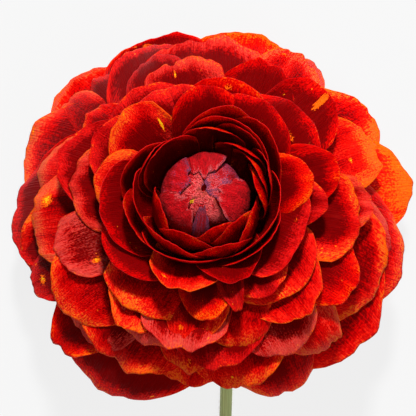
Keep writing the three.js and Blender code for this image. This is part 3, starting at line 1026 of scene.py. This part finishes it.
def turned(profile, place):
    """Spins a profile of (radius, height) stops round the bloom's axis."""
    mesh = petal_mesh()
    verts = [mesh.verts.new((radius, 0, height)) for radius, height in profile]
    edges = [mesh.edges.new(pair) for pair in zip(verts, verts[1:])]
    bmesh.ops.spin(
        mesh, geom=verts + edges, cent=(0, 0, 0), axis=(0, 0, 1), dvec=(0, 0, 0),
        angle=2 * math.pi, steps=TURN_STEPS, use_merge=True)
    bmesh.ops.remove_doubles(mesh, verts=mesh.verts[:], dist=0.01)
    bmesh.ops.recalc_face_normals(mesh, faces=mesh.faces[:])
    places = {}
    for vert in mesh.verts:
        x, y, z = vert.co
        places[vert] = (math.atan2(y, x) / (2 * math.pi) + 0.5, z / TURN_HEIGHT + 0.5)
    lay_uv(mesh, places)
    bmesh.ops.transform(mesh, matrix=place, verts=mesh.verts[:])
    return mesh


# A hair of the down: its greatest length, its radii, and how far its middle stands off the skin
# as a share of its length.
HAIR_LENGTH = 0.9 * MM
HAIR_ROOT = 0.035 * MM
HAIR_TIP = 0.006 * MM
HAIR_STAND = 0.45


def add_hair(mesh, root, out, draw):
    """One fine hair, leaning a little its own way."""
    lean = Vector((draw(-0.5, 0.5), draw(-0.5, 0.5), draw(-0.2, 0.5)))
    way = (out + lean).normalized()
    length = HAIR_LENGTH * draw(0.5, 1.0)
    turn = way.to_track_quat("Z", "Y").to_matrix().to_4x4()
    place = Matrix.Translation(root + way * length * HAIR_STAND) @ turn
    bmesh.ops.create_cone(
        mesh, cap_ends=True, segments=3, radius1=HAIR_ROOT, radius2=HAIR_TIP, depth=length,
        matrix=place)


def material_of(name, maker, *values):
    """The material of that name, made from the values when it isn't there yet."""
    return bpy.data.materials.get(name) or maker(*values)


# ---- Operators ----

class BUTTERCUP_OT_heart(bpy.types.Operator):
    """Close the heart: a bud of small velvety petals"""

    bl_idname = "buttercup.heart"
    bl_label = "Heart"

    def execute(self, context):
        colours = context.scene.buttercup_colours
        place = bloom_matrix(context.scene.buttercup_sizes)
        skin = heart_material(colours)
        blades("heart_petals", heart_petals(), skin, "heart_petal", "heart", HEART_LOOKS)
        bud = petal_mesh()
        made = bmesh.ops.create_uvsphere(
            bud, u_segments=BUD_SIDES, v_segments=BUD_RINGS, radius=BUD_RADIUS)
        bmesh.ops.translate(bud, verts=made["verts"], vec=(0, 0, BUD_HEIGHT))
        bmesh.ops.transform(bud, matrix=place, verts=made["verts"])
        material = material_of("petal_skin", petal_material, colours)
        finished("inner_bud", bud, material, "heart_petal", "heart")
        return {"FINISHED"}


class BUTTERCUP_OT_bowl(bpy.types.Operator):
    """Stand the bowl of upright petals round the heart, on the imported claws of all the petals"""

    bl_idname = "buttercup.bowl"
    bl_label = "Bowl"

    def execute(self, context):
        material = material_of("petal_skin", petal_material, context.scene.buttercup_colours)
        blades("bowl_petals", bowl_petals(), material, "petal", "petals", BOWL_SEED + LOOKS)
        claws = turned(CLAWS, bloom_matrix(context.scene.buttercup_sizes))
        finished("petal_claws", claws, material, "petal", "petals")
        return {"FINISHED"}


class BUTTERCUP_OT_tiers(bpy.types.Operator):
    """Lay the open tiers of petals under the bowl"""

    bl_idname = "buttercup.tiers"
    bl_label = "Open tiers"

    def execute(self, context):
        material = material_of("petal_skin", petal_material, context.scene.buttercup_colours)
        for name, tier in TIERS.items():
            blades(name, tier.grown(), material, "petal", "petals", tier.seed + LOOKS)
        return {"FINISHED"}


SEPAL_COUNT = 5
FIRST_SEPAL = 18
SEPAL_HAIRS = 110
# The ring that the sepals grow from, as (radius, height) round the bloom's axis.
SEPAL_RING = ((4.7, -2.6), (5.8, -2.4), (5.6, -0.2), (4.7, -0.2))
# A short way over a sepal, in its own shares, that shows which way its skin faces.
SHORT_WAY = 0.02


def sepal_petals():
    """Five sepals folded back under the bloom."""
    wave = draws_from(SEPAL_WAVES)
    sepals = []
    for i in range(SEPAL_COUNT):
        sepals.append(Petal(
            azimuth=FIRST_SEPAL + i * 360 / SEPAL_COUNT,
            root=(5.2, -1.4),
            tip=(17.5, -6.4),
            leave=-4,
            arrive=-48,
            leave_pull=0.4,
            arrive_pull=0.36,
            half_width=5.6,
            shoulder=0.5,
            cup=0.05,
            hug=0.4,
            ripple=0.35,
            curl=wave(-0.5, 0.5),
            phases=margin_phases(wave),
        ))
    return sepals


class BUTTERCUP_OT_sepals(bpy.types.Operator):
    """Fold five downy sepals back under the bloom, on the ring that they grow from"""

    bl_idname = "buttercup.sepals"
    bl_label = "Sepals"

    def execute(self, context):
        material = green_material("sepal_skin", context.scene.buttercup_colours.sepal, 60.0)
        sepals = sepal_petals()
        blades("sepal_leaves", sepals, material, "sepal", "sepals", SEPAL_LOOKS)
        place = bloom_matrix(context.scene.buttercup_sizes)
        ring = turned((*SEPAL_RING, SEPAL_RING[0]), place)
        finished("sepal_ring", ring, material, "sepal", "sepals")
        down = petal_mesh()
        draw = draws_from(SEPAL_DOWN)
        for sepal in sepals:
            for _ in range(SEPAL_HAIRS):
                u, v = draw(-0.95, 0.95), draw(0.05, 0.98)
                root = place @ sepal.point(u, v)
                aside = place @ sepal.point(u + SHORT_WAY, v) - root
                out = place @ sepal.point(u, v + SHORT_WAY) - root
                under = out.cross(aside).normalized()
                if root.z > HAIR_LENGTH:
                    add_hair(down, root, under, draw)
        finished("sepal_down", down, material_of("down_hairs", hair_material), "sepal", "sepals")
        return {"FINISHED"}


# The middle line of the stem, from inside the receptacle, through the bent neck, to the cut end.
STEM_LINE = (
    (0.1, -0.3, 15.6), (0.4, -1.1, 12.2), (0.8, -2.8, 8.6), (1.5, -6, 5.2), (2.3, -11, 2.9),
    (3.1, -18, 1.75), (3.8, -28, 1.75), (4, -45, 1.75), (3, -70, 1.75), (0.5, -100, 1.75),
    (-3.5, -132, 1.75),
)
STEM_RADIUS = 1.68
STEM_SIDES = 28
STEM_STEPS = 150
# The stem's ribs and its broad lobes, each as (share of the radius, number round, drift along it).
STEM_RIBS = ((0.035, 7, 5), (0.02, 2, 37))
STEM_GRAIN = 0.37
STEM_HAIRS = 1500
# The skin's least height above the table.
STEM_CLEARANCE = 0.02 * MM
# The receptacle, as (radius, height) round the bloom's axis.
RECEPTACLE = ((0, -6.5), (1.5, -6), (2.2, -4.4), (4.1, -1.4), (4.3, -0.2), (3.9, 0.1), (0, 0.1))
# The cut end, as (share of the radius, depth in mm): its rim, the cut wall and the hollow pith.
CUT_END = ((0.97, 0.0), (0.93, 0.03), (0.64, 0.04), (0.56, 0.5), (0.42, 1.3), (0.04, 1.6))


def stem_place(t):
    """A point of the stem's middle line in the flower's millimetres, and its direction there."""
    spans = len(STEM_LINE) - 1
    i = min(int(t * spans), spans - 1)
    s = t * spans - i
    knots = [Vector(STEM_LINE[min(max(k, 0), spans)]) for k in range(i - 1, i + 3)]
    reach = [max((b - a).length, 0.001) for a, b in zip(knots, knots[1:])]
    leave = (knots[2] - knots[0]) * reach[1] / (reach[0] + reach[1])
    arrive = (knots[3] - knots[1]) * reach[1] / (reach[1] + reach[2])
    if i == 0:
        leave = knots[2] - knots[1]
    if i == spans - 1:
        arrive = knots[2] - knots[1]
    a, b = 2 * s ** 3 - 3 * s ** 2 + 1, s ** 3 - 2 * s ** 2 + s
    c, d = 1 - a, s ** 3 - s ** 2
    point = a * knots[1] + b * leave + c * knots[2] + d * arrive
    da, db, dd = 6 * s * s - 6 * s, 3 * s * s - 4 * s + 1, 3 * s * s - 2 * s
    direction = da * (knots[1] - knots[2]) + db * leave + dd * arrive
    return point, direction.normalized()


def stem_surface(t, turn, share=1.0):
    """A point of the ribbed skin and the direction out of it."""
    point, direction = stem_place(t)
    side = Vector((1, 0, 0)) - direction * direction.x
    side.normalize()
    up = side.cross(direction)
    out = side * math.cos(turn) + up * math.sin(turn)
    (rib, ribs, twist), (lobe, lobes, wander) = STEM_RIBS
    ribbed = 1 + rib * math.cos(ribs * turn + twist * t)
    ribbed += lobe * math.sin(lobes * turn + wander * t)
    return ORIGIN + (point + out * STEM_RADIUS * ribbed * share) * MM, out, direction


def add_stem_tube(mesh):
    """Rolls a grid round the stem's line and draws its far rows in to the hollow of the cut end."""
    layers = mesh.verts.layers.float
    rows = STEM_STEPS + len(CUT_END)
    made = bmesh.ops.create_grid(mesh, x_segments=STEM_SIDES, y_segments=rows, size=1.0)
    places = {}
    for vert in made["verts"]:
        turn = math.pi * (vert.co.x + 1)
        row = round((vert.co.y + 1) / 2 * rows)
        places[vert] = ((vert.co.x + 1) / 2, row / rows)
        share, depth = (1.0, 0.0) if row <= STEM_STEPS else CUT_END[row - STEM_STEPS - 1]
        point, _, direction = stem_surface(min(row / STEM_STEPS, 1.0), turn, share)
        point -= direction * depth * MM
        point.z = max(point.z, STEM_CLEARANCE)
        vert.co = point
        vert[layers["seed"]] = STEM_GRAIN
        vert[layers["dust"]] = 1.0 if row > STEM_STEPS + 1 else 0.0
    lay_uv(mesh, places)
    bmesh.ops.remove_doubles(mesh, verts=mesh.verts[:], dist=0.001 * MM)
    ends = [edge for edge in mesh.edges if edge.is_boundary]
    bmesh.ops.holes_fill(mesh, edges=ends, sides=0)
    bmesh.ops.recalc_face_normals(mesh, faces=mesh.faces[:])


class BUTTERCUP_OT_stem(bpy.types.Operator):
    """Grow the ribbed stem to its hollow cut end, with its receptacle and fine down"""

    bl_idname = "buttercup.stem"
    bl_label = "Stem"

    def execute(self, context):
        material = green_material("stem_skin", context.scene.buttercup_colours.stem, 40.0)
        tube = petal_mesh()
        add_stem_tube(tube)
        finished("cut_stem", tube, material, "stem", "stem")
        receptacle = turned(RECEPTACLE, bloom_matrix(context.scene.buttercup_sizes))
        finished("receptacle", receptacle, material, "stem", "stem")
        down = petal_mesh()
        draw = draws_from(STEM_DOWN)
        for _ in range(STEM_HAIRS):
            root, out, _ = stem_surface(draw(0.02, 0.995), draw(-0.25, 1.25) * math.pi)
            if root.z > HAIR_LENGTH:
                add_hair(down, root, out, draw)
        finished("stem_down", down, material_of("down_hairs", hair_material), "stem", "stem")
        return {"FINISHED"}


# The soft lights: name, place from the flower's origin and size in metres, and watts.
LIGHTS = (
    ("key", (0.05, 0.95, 1.0), 0.16, 29.0),
    ("fill", (0.5, -0.6, 1.0), 0.6, 4.0),
    ("front", (0.1, -0.12, 1.2), 0.2, 2.0),
)
LIGHTS_AIM = Vector((0, 0, 0.04))
ROOM_LIGHT = 0.06
FLOOR_HALF = 8.0
FLOOR_GLOW = 0.825
# The camera looks straight down on this place beside the flower's origin, and sees this much
# across at this height, all in millimetres.
CAMERA_PLACE = (-1.3, 3.2)
SEEN_WIDTH = 111.2
SEEN_HEIGHT = 30
LENS = 150.0
SENSOR = 36.0


class BUTTERCUP_OT_stage(bpy.types.Operator):
    """Set the pale floor, the soft lights and the camera that looks down on the bloom"""

    bl_idname = "buttercup.stage"
    bl_label = "Stage"

    def execute(self, context):
        scene = context.scene
        floor_mesh = bmesh.new()
        bmesh.ops.create_grid(floor_mesh, x_segments=1, y_segments=1, size=FLOOR_HALF)
        data = bpy.data.meshes.new("floor")
        floor_mesh.to_mesh(data)
        floor_mesh.free()
        material, _, shader = new_material("floor")
        set_plain(shader, {
            "Base Color": (*scene.buttercup_colours.floor, 1.0),
            "Roughness": 0.9,
            "Specular IOR Level": 0.0,
            "Emission Color": (1.0, 1.0, 1.0, 1.0),
            "Emission Strength": FLOOR_GLOW,
        })
        data.materials.append(material)
        floor = bpy.data.objects.new("floor", data)
        scene.collection.objects.link(floor)
        for light in LIGHTS:
            self.light(*light)
        world = bpy.data.worlds.new("studio")
        world.use_nodes = True
        background = world.node_tree.nodes["Background"]
        set_plain(background, {"Color": (1.0, 1.0, 1.0, 1.0), "Strength": ROOM_LIGHT})
        scene.world = world
        scene.view_settings.view_transform = "Standard"
        self.camera()
        return {"FINISHED"}

    def light(self, name, place, size, power):
        lamp = bpy.data.lights.new(name, "AREA")
        lamp.size = size
        lamp.energy = power
        holder = bpy.data.objects.new(name, lamp)
        aim = ORIGIN + LIGHTS_AIM
        holder.location = ORIGIN + Vector(place)
        holder.rotation_euler = (aim - holder.location).to_track_quat("-Z", "Y").to_euler()
        bpy.context.scene.collection.objects.link(holder)

    def camera(self):
        view = bpy.data.cameras.new("camera")
        view.lens = LENS
        view.sensor_width = SENSOR
        view.clip_start = 0.01
        holder = bpy.data.objects.new("camera", view)
        height = SEEN_HEIGHT + SEEN_WIDTH * LENS / SENSOR
        holder.location = ORIGIN + Vector((*CAMERA_PLACE, height)) * MM
        bpy.context.scene.collection.objects.link(holder)
        bpy.context.scene.camera = holder


class BUTTERCUP_PT_panel(bpy.types.Panel):
    """Lists the steps that build the flower"""

    bl_idname = "BUTTERCUP_PT_panel"
    bl_label = "Persian buttercup"
    bl_space_type = "VIEW_3D"
    bl_region_type = "UI"
    bl_category = "Buttercup"

    def draw(self, context):
        for operator in OPERATORS:
            self.layout.operator(operator.bl_idname)
        for group in (context.scene.buttercup_sizes, context.scene.buttercup_colours):
            box = self.layout.box()
            for name in group.__annotations__:
                box.prop(group, name)


OPERATORS = (
    BUTTERCUP_OT_stage,
    BUTTERCUP_OT_stem,
    BUTTERCUP_OT_sepals,
    BUTTERCUP_OT_tiers,
    BUTTERCUP_OT_bowl,
    BUTTERCUP_OT_heart,
)
CLASSES = (ButtercupSizes, ButtercupColours, *OPERATORS, BUTTERCUP_PT_panel)


def register():
    for made in CLASSES:
        bpy.utils.register_class(made)
    bpy.types.Scene.buttercup_sizes = bpy.props.PointerProperty(type=ButtercupSizes)
    bpy.types.Scene.buttercup_colours = bpy.props.PointerProperty(type=ButtercupColours)


def unregister():
    del bpy.types.Scene.buttercup_colours
    del bpy.types.Scene.buttercup_sizes
    for made in reversed(CLASSES):
        bpy.utils.unregister_class(made)


def main():
    register()
    for operator in OPERATORS:
        group, name = operator.bl_idname.split(".")
        getattr(getattr(bpy.ops, group), name)()


if __name__ == "__main__":
    main()
